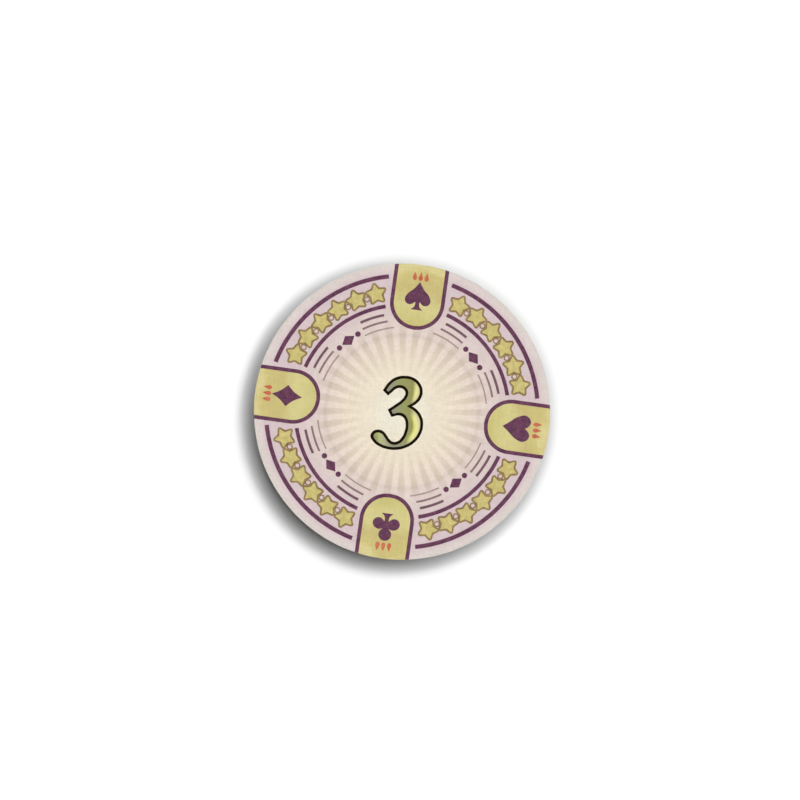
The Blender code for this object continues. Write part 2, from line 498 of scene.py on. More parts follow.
def multiply(tree, colour, shade):
    """Darkens or lightens a colour by a shade."""
    return add(tree, "ShaderNodeVectorMath", {0: colour, 1: shade}, operation="MULTIPLY")


def print_on_linen(tree, shader, colour, ink_wear, gloss=PRINT_GLOSS):
    """Gives a printed colour the sheet's grain, in shade, gloss and relief."""
    threads = add(tree, "ShaderNodeGroup", node_tree=linen)
    shade = spread(tree, threads, *LINEN_SPAN, 1.0 - ink_wear, 1.0 + ink_wear)
    grain = {"Height": threads, "Strength": LINEN_BUMP, "Distance": LINEN_RELIEF}
    relief = add(tree, "ShaderNodeBump", grain)
    roughness = spread(tree, threads, *LINEN_SPAN, *PRINT_ROUGHNESS)
    shader.inputs["Specular IOR Level"].default_value = gloss
    wire(tree, shader, Base_Color=multiply(tree, colour, shade), Roughness=roughness, Normal=relief)


def radius_at(tree, spot):
    """Distance from the axis of the chip."""
    level = add(tree, "ShaderNodeVectorMath", {0: spot, 1: (1.0, 1.0, 0.0)}, operation="MULTIPLY")
    return add(tree, "ShaderNodeVectorMath", {0: level}, operation="LENGTH").outputs["Value"]


def print_ground(face, turn):
    """The printed ground of one face, turned with it."""
    material, tree, shader, spot = new_finish(face + "_ground")
    spot = add(tree, "ShaderNodeMapping", {"Vector": spot, "Rotation": (turn, 0.0, 0.0)})
    radius = radius_at(tree, spot)
    ground = ramp(
        tree,
        maths(tree, "DIVIDE", radius, RIM_RADIUS),
        (0.0, tint(241, 237, 219)),
        (0.12, tint(240, 234, 214)),
        (0.24, tint(239, 227, 205)),
        (0.37, tint(238, 225, 205)),
        (0.47, tint(234, 220, 206)),
        (0.56, tint(228, 212, 204)),
        (0.66, tint(221, 204, 200)),
        (0.76, tint(217, 197, 199)),
        (0.93, tint(217, 198, 200)),
        (0.965, tint(223, 209, 205)),
        (1.0, tint(222, 213, 206)),
    )
    flat = add(tree, "ShaderNodeSeparateXYZ", {0: spot}).outputs
    angle = maths(tree, "ARCTAN2", flat["Y"], flat["X"])
    wave = maths(tree, "MULTIPLY_ADD", angle, RAY_COUNT, pi - RAY_COUNT * RAY_ANGLE)
    rays = spread(tree, maths(tree, "COSINE", wave), -RAY_SOFTNESS, RAY_SOFTNESS, ease="SMOOTHSTEP")
    swell = spread(tree, radius, RAYS_FROM, RAYS_FULL)
    fading = spread(tree, radius, RAYS_FADE, RAYS_END, 1.0, 0.0)
    depth = maths(tree, "MULTIPLY", swell, fading)
    sunburst = ramp(tree, maths(tree, "MULTIPLY", rays, depth), (0.0, (1.0, 1.0, 1.0)), (1.0, RAY_SHADE))
    from_ring = maths(tree, "ABSOLUTE", maths(tree, "SUBTRACT", radius, SOFT_RING))
    ring = spread(tree, from_ring, 0.0, SOFT_RING_HALF_WIDTH, SOFT_RING_SHADE, 1.0, "SMOOTHSTEP")
    cloud = spread(tree, noise(tree, spot, PRINT_CLOUD, detail=3.0), *NOISE_SPAN, *CLOUD_SHADE)
    mottle = spread(tree, noise(tree, spot, PRINT_MOTTLE), *NOISE_SPAN, *MOTTLE_SHADE)
    shade = maths(tree, "MULTIPLY", ring, maths(tree, "MULTIPLY", cloud, mottle))
    print_on_linen(tree, shader, multiply(tree, ground, multiply(tree, sunburst, shade)), GROUND_WEAR)
    return material


film, size = shape_tree(
    "formed_film",
    {
        "Face radius": FACE_RADIUS,
        "Flat radius": FLAT_RADIUS,
        "Film thickness": FILM_THICKNESS,
        "Steps round": STEPS_ROUND,
        "Shoulder steps": SHOULDER_STEPS,
        "Finish": filled_resin,
    },
)
disc = {"Vertices": size["Steps round"], "Radius": size["Face radius"]}
disc = add(film, "GeometryNodeMeshCircle", disc, fill_type="NGON")
flange = add(
    film,
    "GeometryNodeMeshCone",
    {
        "Vertices": size["Steps round"],
        "Side Segments": size["Shoulder steps"],
        "Radius Top": size["Face radius"],
        "Radius Bottom": size["Flat radius"],
        "Depth": 0.0,
    },
    fill_type="NONE",
)
blank = merged(film, add(film, "GeometryNodeJoinGeometry", {"Geometry": [disc, flange]}))
across = maths(film, "DIVIDE", MAP_SHARE / 2, size["Flat radius"])
place = {0: add(film, "GeometryNodeInputPosition"), 1: across, 2: (0.5, 0.5, 0.0)}
place = add(film, "ShaderNodeVectorMath", place, operation="MULTIPLY_ADD")
blank = {"Geometry": blank, "Name": "OFBake", "Value": place}
blank = add(film, "GeometryNodeStoreNamedAttribute", blank, data_type="FLOAT2", domain="CORNER")
inside = maths(film, "MULTIPLY", size["Film thickness"], -1.0)
blank = {"Drawing": blank, "Underside": inside, "Thickness": size["Film thickness"]}
close_tree(film, use(film, layer, blank), size["Finish"])

front_film = grown("front_film", film, {"Finish": print_ground("front", 0.0)})
back_film = grown("back_film", film, {"Finish": print_ground("back", pi)})
back_film.transform(TURNED_OVER)
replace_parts(show("front_film", front_film), "front_print_film")
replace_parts(show("back_film", back_film), "back_print_film")


# Panels: four round-arched gold fields with a purple border, at the top, bottom and sides of the print.
# Both inks are laid on the flat sheet, gold over purple, and run off over the edge with it.

FIRST_INK = -0.004 * MM
SECOND_INK = 0.007 * MM
THIRD_INK = 0.018 * MM
INK_THICKNESS = 0.014 * MM
PANEL_HALF_WIDTH = 3.6 * MM
PANEL_BORDER = 0.5 * MM
PANEL_TIP = 10.9 * MM
PANEL_CENTRE = PANEL_TIP + PANEL_HALF_WIDTH
PANEL_MARGIN = 0.02 * MM
PANEL_END = FLAT_RADIUS - PANEL_MARGIN
PANEL_ROWS = 96
PANEL_COLUMNS = 20
INK_BLOT = 0.5 * MM
INK_SPAN = (0.32, 0.68)
GOLD_CLOUD = 2.2 * MM
GOLD_DRIFT = 0.05
GOLD_WEAR = 0.05


def ink(name, deep, light, wear, gloss=PRINT_GLOSS):
    """A printing ink, a little uneven where it lies thin on the threads."""
    material, tree, shader, spot = new_finish(name)
    blots = noise(tree, spot, INK_BLOT, detail=4.0)
    print_on_linen(tree, shader, blotted(tree, blots, deep, light, INK_SPAN), wear, gloss)
    return material


def ink_sizes(material):
    """The named sizes of a layer of ink, which lies straight on the sheet unless told otherwise."""
    return {"Underside": FIRST_INK, "Thickness": INK_THICKNESS, "Ink": material}


def laid(tree, drawing, size):
    """A layer of ink over a drawing, at the tree's own sizes."""
    sizes = {"Drawing": drawing, "Underside": size["Underside"], "Thickness": size["Thickness"]}
    return use(tree, layer, sizes)


def on_both_faces(name, mesh):
    """A printed layer on the front, and the same turned over onto the back."""
    back = mesh.copy()
    back.transform(TURNED_OVER)
    show("front_" + name, mesh)
    show("back_" + name, back)


purple_ink = ink("purple_ink", tint(88, 50, 75), tint(112, 70, 92), wear=0.10)

panel_gold, tree, shader, spot = new_finish("panel_gold")
field = maths(tree, "DIVIDE", radius_at(tree, spot), RIM_RADIUS)
drift = spread(tree, noise(tree, spot, GOLD_CLOUD), *NOISE_SPAN, -GOLD_DRIFT, GOLD_DRIFT)
gold = ramp(
    tree,
    maths(tree, "ADD", field, drift),
    (0.58, tint(204, 194, 126)),
    (0.72, tint(215, 206, 143)),
    (0.84, tint(203, 188, 125)),
    (0.95, tint(209, 195, 128)),
    (1.0, tint(220, 208, 149)),
)
print_on_linen(tree, shader, gold, GOLD_WEAR)

panel_sizes = {"Half width": PANEL_HALF_WIDTH, "Arch centre": PANEL_CENTRE, "Outer end": PANEL_END}
panel, size = shape_tree("arched_panels", {**panel_sizes, **ink_sizes(purple_ink)})
tip = maths(panel, "SUBTRACT", size["Arch centre"], size["Half width"])
length = maths(panel, "SUBTRACT", size["Outer end"], tip)
sheet = {"Size X": length, "Size Y": 2.0, "Vertices X": PANEL_ROWS, "Vertices Y": PANEL_COLUMNS}
sheet = add(panel, "GeometryNodeMeshGrid", sheet)
flat = own_place(panel)
radius = maths(panel, "ADD", flat["X"], maths(panel, "MULTIPLY_ADD", length, 0.5, tip))
radius_squared = maths(panel, "MULTIPLY", radius, radius)
centre_squared = maths(panel, "MULTIPLY", size["Arch centre"], size["Arch centre"])
half_squared = maths(panel, "MULTIPLY", size["Half width"], size["Half width"])
arch = maths(panel, "SUBTRACT", maths(panel, "ADD", radius_squared, centre_squared), half_squared)
arch = maths(panel, "DIVIDE", arch, maths(panel, "MULTIPLY", radius, size["Arch centre"]))
arch = maths(panel, "ARCCOSINE", maths(panel, "MINIMUM", maths(panel, "MULTIPLY", arch, 0.5), 1.0))
sides = maths(panel, "ARCSINE", maths(panel, "DIVIDE", size["Half width"], radius))
springing = maths(panel, "SQRT", maths(panel, "ADD", centre_squared, half_squared))
straight = maths(panel, "GREATER_THAN", radius, springing)
half_angle = maths(panel, "MULTIPLY", sides, straight)
half_angle = maths(panel, "MULTIPLY_ADD", arch, maths(panel, "SUBTRACT", 1.0, straight), half_angle)
turn = maths(panel, "MULTIPLY", flat["Y"], half_angle)
sheet = merged(panel, moved(panel, sheet, swung(panel, vector(panel, X=radius), turn)))
close_tree(panel, laid(panel, use(panel, fan, {"Shape": sheet}), size), size["Ink"])

on_both_faces("panel_border", grown("panel_border", panel))
gold_field = {"Half width": PANEL_HALF_WIDTH - PANEL_BORDER, "Underside": SECOND_INK, "Ink": panel_gold}
on_both_faces("panel_field", grown("panel_field", panel, gold_field))


# Pips: the four card suits in purple, one to a panel with its top to the rim, and outside each a spray
# of three red drops. They are overprinted on the gold.

PIP_HEIGHT = 3.7 * MM
PIP_RADIUS = 15.3 * MM
CURVE_STEPS = 10

SPADE_HALF = [
    (0.0, 0.52, 1), (0.17, 0.27, 0), (0.40, 0.03, 0), (0.45, -0.19, 0), (0.27, -0.31, 0), (0.07, -0.19, 1),
]
STEM_HALF = [(0.09, -0.36, 0), (0.21, -0.48, 1)]
HEART_HALF = [
    (0.0, 0.28, 1), (0.11, 0.41, 0), (0.27, 0.46, 0), (0.46, 0.28, 0), (0.40, 0.0, 0), (0.17, -0.30, 0),
    (0.0, -0.52, 1),
]
CLUB_HALF = [
    (0.0, 0.50, 0), (0.20, 0.38, 0), (0.21, 0.19, 0), (0.11, 0.07, 1), (0.27, 0.10, 0), (0.46, -0.02, 0),
    (0.45, -0.22, 0), (0.26, -0.31, 0), (0.07, -0.19, 1),
]
DIAMOND_HALF = [(0.0, 0.54, 1), (0.16, 0.24, 0), (0.38, 0.0, 1), (0.16, -0.24, 0), (0.0, -0.54, 1)]


def drawn(name, outlines):
    """A flat mesh inside smooth closed outlines of (x, y, is a corner) points."""
    curve = bpy.data.curves.new(name, "CURVE")
    curve.dimensions = "2D"
    curve.fill_mode = "FRONT"
    curve.resolution_u = CURVE_STEPS
    for outline in outlines:
        spline = curve.splines.new("BEZIER")
        spline.bezier_points.add(len(outline) - 1)
        spline.use_cyclic_u = True
        for knot, (x, y, corner) in zip(spline.bezier_points, outline):
            knot.co = (x, y, 0.0)
            knot.handle_left_type = knot.handle_right_type = "VECTOR" if corner else "AUTO"
    blank = blank_for(name, curve)
    mesh = bpy.data.meshes.new_from_object(blank.evaluated_get(bpy.context.evaluated_depsgraph_get()))
    bpy.data.objects.remove(blank)
    return mesh


def mirrored(half):
    """A whole outline from its right half, which runs from top to bottom."""
    left = [(-x, y, corner) for x, y, corner in reversed(half) if x > 0.0]
    return half + left


def placed(outline, height, radius, azimuth):
    """An outline of unit height set upright on a radius of the print, with its top outward."""
    turn = Matrix.Rotation(azimuth - pi / 2, 2)
    return [(*(turn @ Vector((x * height, y * height + radius))), corner) for x, y, corner in outline]


laying, size = shape_tree("laid_ink", {"Drawing": None, **ink_sizes(purple_ink)})
close_tree(laying, laid(laying, size["Drawing"], size), size["Ink"])

suits = (HEART_HALF, SPADE_HALF + STEM_HALF, DIAMOND_HALF, CLUB_HALF + STEM_HALF)
pips = [placed(mirrored(half), PIP_HEIGHT, PIP_RADIUS, number * pi / 2) for number, half in enumerate(suits)]
on_both_faces("pips", grown("pips", laying, {"Underside": THIRD_INK}, drawn("pips", pips)))

DROP_RADIUS = 17.9 * MM
DROP_LENGTH = 1.15 * MM
DROPS_IN_SPRAY = 3
DROP_PITCH = radians(2.5)
DROP_HALF = [(0.0, 0.55, 1), (0.18, 0.10, 0), (0.24, -0.20, 0), (0.0, -0.45, 0)]

red_ink = ink("red_ink", tint(186, 94, 72), tint(214, 126, 92), wear=0.08)
spray_sizes = {"Drop": None, "Drops": DROPS_IN_SPRAY, "Drop pitch": DROP_PITCH}
spray, size = shape_tree("red_sprays", {**spray_sizes, **ink_sizes(red_ink)})
first = maths(spray, "MULTIPLY", maths(spray, "SUBTRACT", 1.0, size["Drops"]), 0.5)
first = maths(spray, "MULTIPLY", first, size["Drop pitch"])
drops = {"Shape": size["Drop"], "Count": size["Drops"], "First": first, "Pitch": size["Drop pitch"]}
drops = use(spray, fan, {"Shape": use(spray, fan, drops)})
close_tree(spray, laid(spray, drops, size), size["Ink"])
drop = drawn("drop", [placed(mirrored(DROP_HALF), DROP_LENGTH, DROP_RADIUS, 0.0)])
on_both_faces("red_sprays", grown("red_sprays", spray, {"Underside": THIRD_INK}, drop))


# Border lines: two purple rings that stop short of the panels, and inside them short arcs beside each
# panel, thinner and paler towards the sunburst. All are printed straight on the ground.

RINGS = ((17.88 * MM, 0.56 * MM), (14.02 * MM, 0.50 * MM))
RING_GAP = 0.6 * MM
HATCH_ARCS = (
    (12.92 * MM, 0.34 * MM, radians(18.5), radians(33.0)),
    (12.03 * MM, 0.27 * MM, radians(17.0), radians(33.5)),
    (11.13 * MM, 0.19 * MM, radians(13.5), radians(34.0)),
)
ARC_STEP = radians(1.0)
LINE_DRIFT = 0.12
LINE_WEAR = 0.08


def panel_side(radius):
    """Angle from the middle of a panel to its side, at a radius of the print."""
    if radius > hypot(PANEL_CENTRE, PANEL_HALF_WIDTH):
        return asin(PANEL_HALF_WIDTH / radius)
    return acos((radius**2 + PANEL_CENTRE**2 - PANEL_HALF_WIDTH**2) / (2 * radius * PANEL_CENTRE))


# Part of a flat ring
band, size = shape_tree("ring_band", {"Radius": 0.0, "Width": 0.0, "From": 0.0, "To": 0.0, "Step": ARC_STEP})
sweep = maths(band, "SUBTRACT", size["To"], size["From"])
steps = maths(band, "CEIL", maths(band, "DIVIDE", sweep, size["Step"]))
rows = maths(band, "ADD", steps, 1.0)
sheet = {"Size X": size["Width"], "Size Y": sweep, "Vertices X": 2, "Vertices Y": rows}
sheet = add(band, "GeometryNodeMeshGrid", sheet)
flat = own_place(band)
outward = vector(band, X=maths(band, "ADD", flat["X"], size["Radius"]))
turn = maths(band, "MULTIPLY", maths(band, "ADD", size["From"], size["To"]), 0.5)
turn = maths(band, "ADD", flat["Y"], turn)
give(band, merged(band, moved(band, sheet, swung(band, outward, turn))))


def band_inputs(label, radius, width, start, end):
    """The named sizes of one band of a tree."""
    return {f"{label} radius": radius, f"{label} width": width, f"{label} from": start, f"{label} to": end}


def band_node(tree, size, label):
    """One band of a tree, at its named sizes."""
    sizes = {name: size[f"{label} {name.lower()}"] for name in ("Radius", "Width", "From", "To")}
    return use(tree, band, sizes)


def band_tree(name, bands, material):
    """A tree that lays each band four times round the face."""
    sizes = {}
    for label, values in bands.items():
        sizes.update(band_inputs(label, *values))
    tree, size = shape_tree(name, {**sizes, **ink_sizes(material)})
    quarter = [band_node(tree, size, label) for label in bands]
    quarter = add(tree, "GeometryNodeJoinGeometry", {"Geometry": quarter})
    close_tree(tree, laid(tree, use(tree, fan, {"Shape": quarter}), size), size["Ink"])
    return tree


rings = {}
for label, (radius, width) in zip(("Outer ring", "Inner ring"), RINGS):
    start = panel_side(radius) + RING_GAP / radius
    rings[label] = (radius, width, start, pi / 2 - start)
on_both_faces("border_rings", grown("border_rings", band_tree("border_rings", rings, purple_ink)))

line_ink, tree, shader, spot = new_finish("line_ink")
paling = spread(tree, radius_at(tree, spot), HATCH_ARCS[-1][0], HATCH_ARCS[0][0])
drift = spread(tree, noise(tree, spot, INK_BLOT, detail=4.0), *NOISE_SPAN, -LINE_DRIFT, LINE_DRIFT)
paling = maths(tree, "ADD", paling, drift)
line = ramp(tree, paling, (0.0, tint(172, 150, 144)), (0.5, tint(144, 116, 120)), (1.0, tint(115, 84, 94)))
print_on_linen(tree, shader, line, LINE_WEAR)
arcs = {}
for number, (radius, width, start, end) in enumerate(HATCH_ARCS, 1):
    arcs[f"Left arc {number}"] = (radius, width, start, end)
    arcs[f"Right arc {number}"] = (radius, width, -end, -start)
on_both_faces("hatch_arcs", grown("hatch_arcs", band_tree("hatch_arcs", arcs, line_ink)))


# Ornaments: a purple lozenge between two dots, on each diagonal of the print between the arcs. They are
# printed straight on the ground, with the purple of the rings.

ORNAMENT_RADIUS = 11.75 * MM
LOZENGE_LENGTH = 1.0 * MM
LOZENGE_HALF_HEIGHT = 0.72 * MM
DOT_RADIUS = 0.36 * MM
DOT_PITCH = radians(7.4)
DOT_SIDES = 24

ornament, size = shape_tree(
    "ornaments",
    {
        "Radius": ORNAMENT_RADIUS,
        "Lozenge length": LOZENGE_LENGTH,
        "Lozenge half height": LOZENGE_HALF_HEIGHT,
        "Dot radius": DOT_RADIUS,
        "Dot pitch": DOT_PITCH,
        **ink_sizes(purple_ink),
    },
)
place = vector(ornament, X=size["Radius"])
lozenge = {
    "Geometry": add(ornament, "GeometryNodeMeshCircle", {"Vertices": 4, "Radius": 1.0}, fill_type="NGON"),
    "Translation": place,
    "Scale": vector(ornament, X=size["Lozenge half height"], Y=size["Lozenge length"], Z=1.0),
}
lozenge = add(ornament, "GeometryNodeTransform", lozenge)
dot = {"Vertices": DOT_SIDES, "Radius": size["Dot radius"]}
dot = add(ornament, "GeometryNodeMeshCircle", dot, fill_type="NGON")
dots = {
    "Shape": shifted(ornament, dot, place),
    "Count": 2,
    "First": maths(ornament, "MULTIPLY", size["Dot pitch"], -1.0),
    "Pitch": maths(ornament, "MULTIPLY", size["Dot pitch"], 2.0),
}
marks = {"Geometry": [lozenge, use(ornament, fan, dots)]}
marks = add(ornament, "GeometryNodeJoinGeometry", marks)
marks = use(ornament, fan, {"Shape": marks, "First": pi / 4})
close_tree(ornament, laid(ornament, marks, size), size["Ink"])
on_both_faces("ornaments", grown("ornaments", ornament))


# Star chain: gold stars outlined in brown fill the border between the rings, each with a point to the
# rim. A small brown ring fills the gap between neighbours. The brown is printed first, with all its
# outlines run together, and the gold over it.

STARS_IN_CHAIN = 6
STAR_POINTS = 5
STAR_PITCH = radians(9.85)
STAR_CIRCLE = 15.84 * MM
STAR_RADIUS = 1.82 * MM
STAR_WAIST = 0.54
STAR_LINE = 0.25 * MM
STAR_ROUNDING = 0.30 * MM
FIELD_ROUNDING = 0.08 * MM
ROUNDING_STEPS = 4
LINK_CIRCLE = 15.48 * MM
LINK_RADIUS = 0.33 * MM
LINK_WIDTH = 0.18 * MM
LINK_STEP = radians(12.0)

brown_ink = ink("brown_ink", tint(132, 106, 72), tint(160, 136, 94), wear=0.06)
star_gold = ink("star_gold", tint(196, 181, 112), tint(212, 199, 132), wear=0.06)

# One rounded star at its place on the first radius
star, size = shape_tree("rounded_star", {"Circle": 0.0, "Star radius": 0.0, "Waist": 0.0, "Rounding": 0.0})
waist = maths(star, "MULTIPLY", size["Star radius"], size["Waist"])
points = {"Points": STAR_POINTS, "Inner Radius": waist, "Outer Radius": size["Star radius"]}
points = add(star, "GeometryNodeCurveStar", points)
rounding = {"Curve": points, "Count": ROUNDING_STEPS, "Radius": size["Rounding"], "Limit Radius": True}
points = add(star, "GeometryNodeFilletCurve", rounding, mode="POLY")
points = add(star, "GeometryNodeFillCurve", {"Curve": points}, mode="NGONS")
give(star, shifted(star, points, vector(star, X=size["Circle"])))

STAR_SIZES = {
    "Stars": STARS_IN_CHAIN,
    "Pitch": STAR_PITCH,
    "Circle": STAR_CIRCLE,
    "Star radius": STAR_RADIUS,
    "Waist": STAR_WAIST,
    "Rounding": STAR_ROUNDING,
}
LINK_SIZES = {"Link circle": LINK_CIRCLE, "Link radius": LINK_RADIUS, "Link width": LINK_WIDTH}


def row_of(tree, shape, size, count):
    """Copies of a shape in a row at the stars' pitch, centred on a diagonal of the print."""
    first = maths(tree, "MULTIPLY", maths(tree, "SUBTRACT", 1.0, count), 0.5)
    first = maths(tree, "MULTIPLY_ADD", first, size["Pitch"], pi / 4)
    return use(tree, fan, {"Shape": shape, "Count": count, "First": first, "Pitch": size["Pitch"]})


def row_of_stars(tree, size):
    """The stars of one diagonal, as a layer of ink."""
    one = {name: size[name] for name in ("Circle", "Star radius", "Waist", "Rounding")}
    return laid(tree, row_of(tree, use(tree, star, one), size, size["Stars"]), size)


outlines, size = shape_tree("star_outlines", {**STAR_SIZES, **LINK_SIZES, **ink_sizes(brown_ink)})
stars = row_of_stars(outlines, size)
link = {"Radius": size["Link radius"], "Width": size["Link width"], "To": 2 * pi, "Step": LINK_STEP}
link = shifted(outlines, use(outlines, band, link), vector(outlines, X=size["Link circle"]))
gaps = maths(outlines, "SUBTRACT", size["Stars"], 1.0)
links = laid(outlines, row_of(outlines, link, size, gaps), size)
chain = {"Mesh": [stars, links], "Self Intersection": True}
chain = add(outlines, "GeometryNodeMeshBoolean", chain, operation="UNION", solver="EXACT")
close_tree(outlines, use(outlines, fan, {"Shape": chain}), size["Ink"])
on_both_faces("star_outlines", grown("star_outlines", outlines))

fields, size = shape_tree("star_fields", {**STAR_SIZES, **ink_sizes(star_gold)})
close_tree(fields, use(fields, fan, {"Shape": row_of_stars(fields, size)}), size["Ink"])
star_fill = {"Star radius": STAR_RADIUS - 2 * STAR_LINE, "Rounding": FIELD_ROUNDING, "Underside": SECOND_INK}
on_both_faces("star_fields", grown("star_fields", fields, star_fill))


# Numeral: a plain 3 in the middle of the sunburst, its black outline printed first and the shaded gold
# over it. The gold is dull and greenish, with a bright stripe along the outer side of both bowls.

NUMERAL = [
    (-2.50, 2.50, 1), (-1.98, 3.46, 0), (-1.13, 4.23, 0), (-0.04, 4.55, 0), (1.10, 4.44, 0), (1.97, 3.83, 0),
    (2.36, 3.00, 0), (2.25, 2.11, 0), (1.77, 1.39, 0), (1.07, 0.84, 1), (1.90, 0.46, 0), (2.66, -0.26, 0),
    (3.04, -1.30, 0), (2.90, -2.58, 0), (2.25, -3.68, 0), (1.28, -4.46, 0), (0.15, -4.88, 0),
    (-1.03, -4.96, 0), (-2.14, -4.73, 0), (-2.93, -4.28, 0), (-3.33, -3.70, 0), (-3.14, -3.20, 0),
    (-2.63, -2.96, 0), (-2.02, -3.06, 0), (-1.47, -3.55, 0), (-0.95, -4.08, 0), (-0.38, -4.28, 0),
    (0.27, -4.07, 0), (0.79, -3.47, 0), (1.08, -2.60, 0), (1.12, -1.70, 0), (0.91, -0.97, 0),
    (0.46, -0.47, 0), (-0.14, -0.36, 0), (-1.04, -0.66, 1), (-1.49, -0.01, 1), (-0.64, 0.72, 0),
    (0.02, 1.36, 0), (0.43, 2.03, 0), (0.47, 2.62, 0), (0.10, 3.10, 0), (-0.52, 3.25, 0),
    (-1.16, 3.00, 0), (-1.61, 2.51, 0), (-1.97, 2.10, 1),
]
NUMERAL_LINE = 0.37 * MM
NUMERAL_ASIDE = -0.19 * MM
NUMERAL_SQUEEZE = 0.983
SHADING_FROM = -4.4 * MM
SHADING_TO = 3.2 * MM
SHADING_SLANT = 0.25
WAIST_HEIGHT = 0.8 * MM
UPPER_BOWL = (0.30 * MM, 2.75 * MM, 1.82 * MM)
LOWER_BOWL = (0.0 * MM, -1.90 * MM, 2.80 * MM)
STRIPE_DEPTH = 2.0 * MM
STRIPE_SPAN = (0.38, 0.62)
NUMERAL_CLOUD = 1.5 * MM
NUMERAL_DRIFT = 0.15 * MM

black_ink = ink("black_ink", tint(14, 8, 0), tint(24, 16, 4), wear=0.10, gloss=0.03)
numeral_gold, tree, shader, spot = new_finish("numeral_gold")
flat = add(tree, "ShaderNodeSeparateXYZ", {0: spot}).outputs
drift = spread(tree, noise(tree, spot, NUMERAL_CLOUD), *NOISE_SPAN, -NUMERAL_DRIFT, NUMERAL_DRIFT)
slanted = maths(tree, "ADD", maths(tree, "MULTIPLY_ADD", flat["Y"], SHADING_SLANT, flat["X"]), drift)
dull = ramp(
    tree,
    spread(tree, slanted, SHADING_FROM, SHADING_TO),
    (0.0, tint(144, 139, 112)),
    (0.07, tint(158, 162, 102)),
    (0.12, tint(184, 188, 130)),
    (0.20, tint(178, 179, 142)),
    (0.28, tint(154, 153, 126)),
    (0.40, tint(150, 147, 130)),
    (0.50, tint(152, 151, 118)),
    (0.61, tint(151, 155, 98)),
    (0.71, tint(152, 151, 94)),
    (0.79, tint(150, 146, 92)),
)


def blend(factor, first, second):
    """Goes from the first colour to the second as the factor goes from 0 to 1."""
    # Inputs 6 and 7 and output 2 are the ones of this node that carry colours
    return add(tree, "ShaderNodeMix", {0: factor, 6: first, 7: second}, data_type="RGBA").outputs[2]


def stripe(centre_x, centre_y, bowl_radius):
    """The dull gold with the bright stripe of one bowl, which starts a little inside its outer side."""
    place = add(tree, "ShaderNodeVectorMath", {0: spot, 1: (centre_x, centre_y, 0.0)}, operation="SUBTRACT")
    depth = maths(tree, "SUBTRACT", bowl_radius, radius_at(tree, place))
    bright = ramp(
        tree,
        maths(tree, "DIVIDE", depth, STRIPE_DEPTH),
        (0.10, tint(205, 197, 150)),
        (0.20, tint(226, 220, 162)),
        (0.30, tint(233, 229, 150)),
        (0.44, tint(224, 222, 134)),
        (0.56, tint(166, 162, 90)),
        (0.68, tint(150, 146, 92)),
        (0.80, tint(150, 144, 112)),
    )
    aside = add(tree, "ShaderNodeSeparateXYZ", {0: place}).outputs["X"]
    return blend(spread(tree, maths(tree, "DIVIDE", aside, bowl_radius), *STRIPE_SPAN), dull, bright)


above = maths(tree, "GREATER_THAN", flat["Y"], WAIST_HEIGHT)
print_on_linen(tree, shader, blend(above, stripe(*LOWER_BOWL), stripe(*UPPER_BOWL)), GOLD_WEAR)


def moved_out(outline, margin):
    """A clockwise outline moved outward by a margin, point by point."""
    outside = []
    for before, here, after in zip(outline[-1:] + outline[:-1], outline, outline[1:] + outline[:1]):
        spot = Vector(here[:2])
        arriving = (spot - Vector(before[:2])).normalized()
        leaving = (Vector(after[:2]) - spot).normalized()
        along = (arriving + leaving).normalized()
        spot += Vector((-along.y, along.x)) * margin / along.dot(leaving)
        outside.append((*spot, here[2]))
    return outside


numeral = [(x * NUMERAL_SQUEEZE * MM + NUMERAL_ASIDE, y * MM, corner) for x, y, corner in NUMERAL]
outline = drawn("numeral_outline", [moved_out(numeral, NUMERAL_LINE / 2)])
on_both_faces("numeral_outline", grown("numeral_outline", laying, {"Ink": black_ink}, outline))
fill = drawn("numeral_field", [moved_out(numeral, -NUMERAL_LINE / 2)])
over = {"Underside": SECOND_INK, "Ink": numeral_gold}
on_both_faces("numeral_field", grown("numeral_field", laying, over, fill))


# Stage: a white studio floor that keeps the chip's shadow, with a soft contact shade painted into its
# colour where the chip stands close. Away from the chip it runs out into the even white of the sky. From
# below it is clear, like a glass table.

FLOOR_HALF = 3.0
FLOOR_DROP = 0.05 * MM
FLOOR_DULL = 0.99
FLOOR_WHITE = 0.995
FLOOR_CLOUD = 0.4
GLOW_FROM = 0.03
GLOW_FULL = 0.2
CONTACT_REACH = 2.2 * MM
CONTACT_SHADE = 0.68
CONTACT_SAMPLES = 6
OPEN_AT_A_WALL = 0.5
SKY_STRENGTH = 0.01


def seen_directly(tree):
    """1 for what is seen, straight, in a gloss or through glass, and 0 for light that falls on the chip."""
    path = add(tree, "ShaderNodeLightPath").outputs
    seen = maths(tree, "MAXIMUM", path["Is Camera Ray"], path["Is Glossy Ray"])
    return maths(tree, "MAXIMUM", seen, path["Is Transmission Ray"])


studio_white, tree, shader, spot = new_finish("studio_white")
paper = blotted(tree, noise(tree, spot, FLOOR_CLOUD), (FLOOR_DULL,) * 3, (FLOOR_WHITE,) * 3)
shader.inputs["Roughness"].default_value = 1.0
shader.inputs["Specular IOR Level"].default_value = 0.0
shader.inputs["Emission Color"].default_value = (1.0, 1.0, 1.0, 1.0)
glow = spread(tree, radius_at(tree, spot), GLOW_FROM, GLOW_FULL)
glow = maths(tree, "MULTIPLY", seen_directly(tree), glow)
# Painted contact shade: ambient occlusion darkens the floor's colour close to the chip, where shade would
# fall.
reach = {"Distance": CONTACT_REACH}
openness = add(tree, "ShaderNodeAmbientOcclusion", reach, samples=CONTACT_SAMPLES).outputs["AO"]
painted_contact_shade = spread(tree, openness, OPEN_AT_A_WALL, 1.0, CONTACT_SHADE, 1.0)
wire(tree, shader, Base_Color=multiply(tree, paper, painted_contact_shade), Emission_Strength=glow)
below = add(tree, "ShaderNodeNewGeometry").outputs["Backfacing"]
one_way = add(tree, "ShaderNodeMixShader", {0: below, 1: shader, 2: add(tree, "ShaderNodeBsdfTransparent")})
tree.links.new(one_way.outputs[0], tree.nodes["Material Output"].inputs["Surface"])
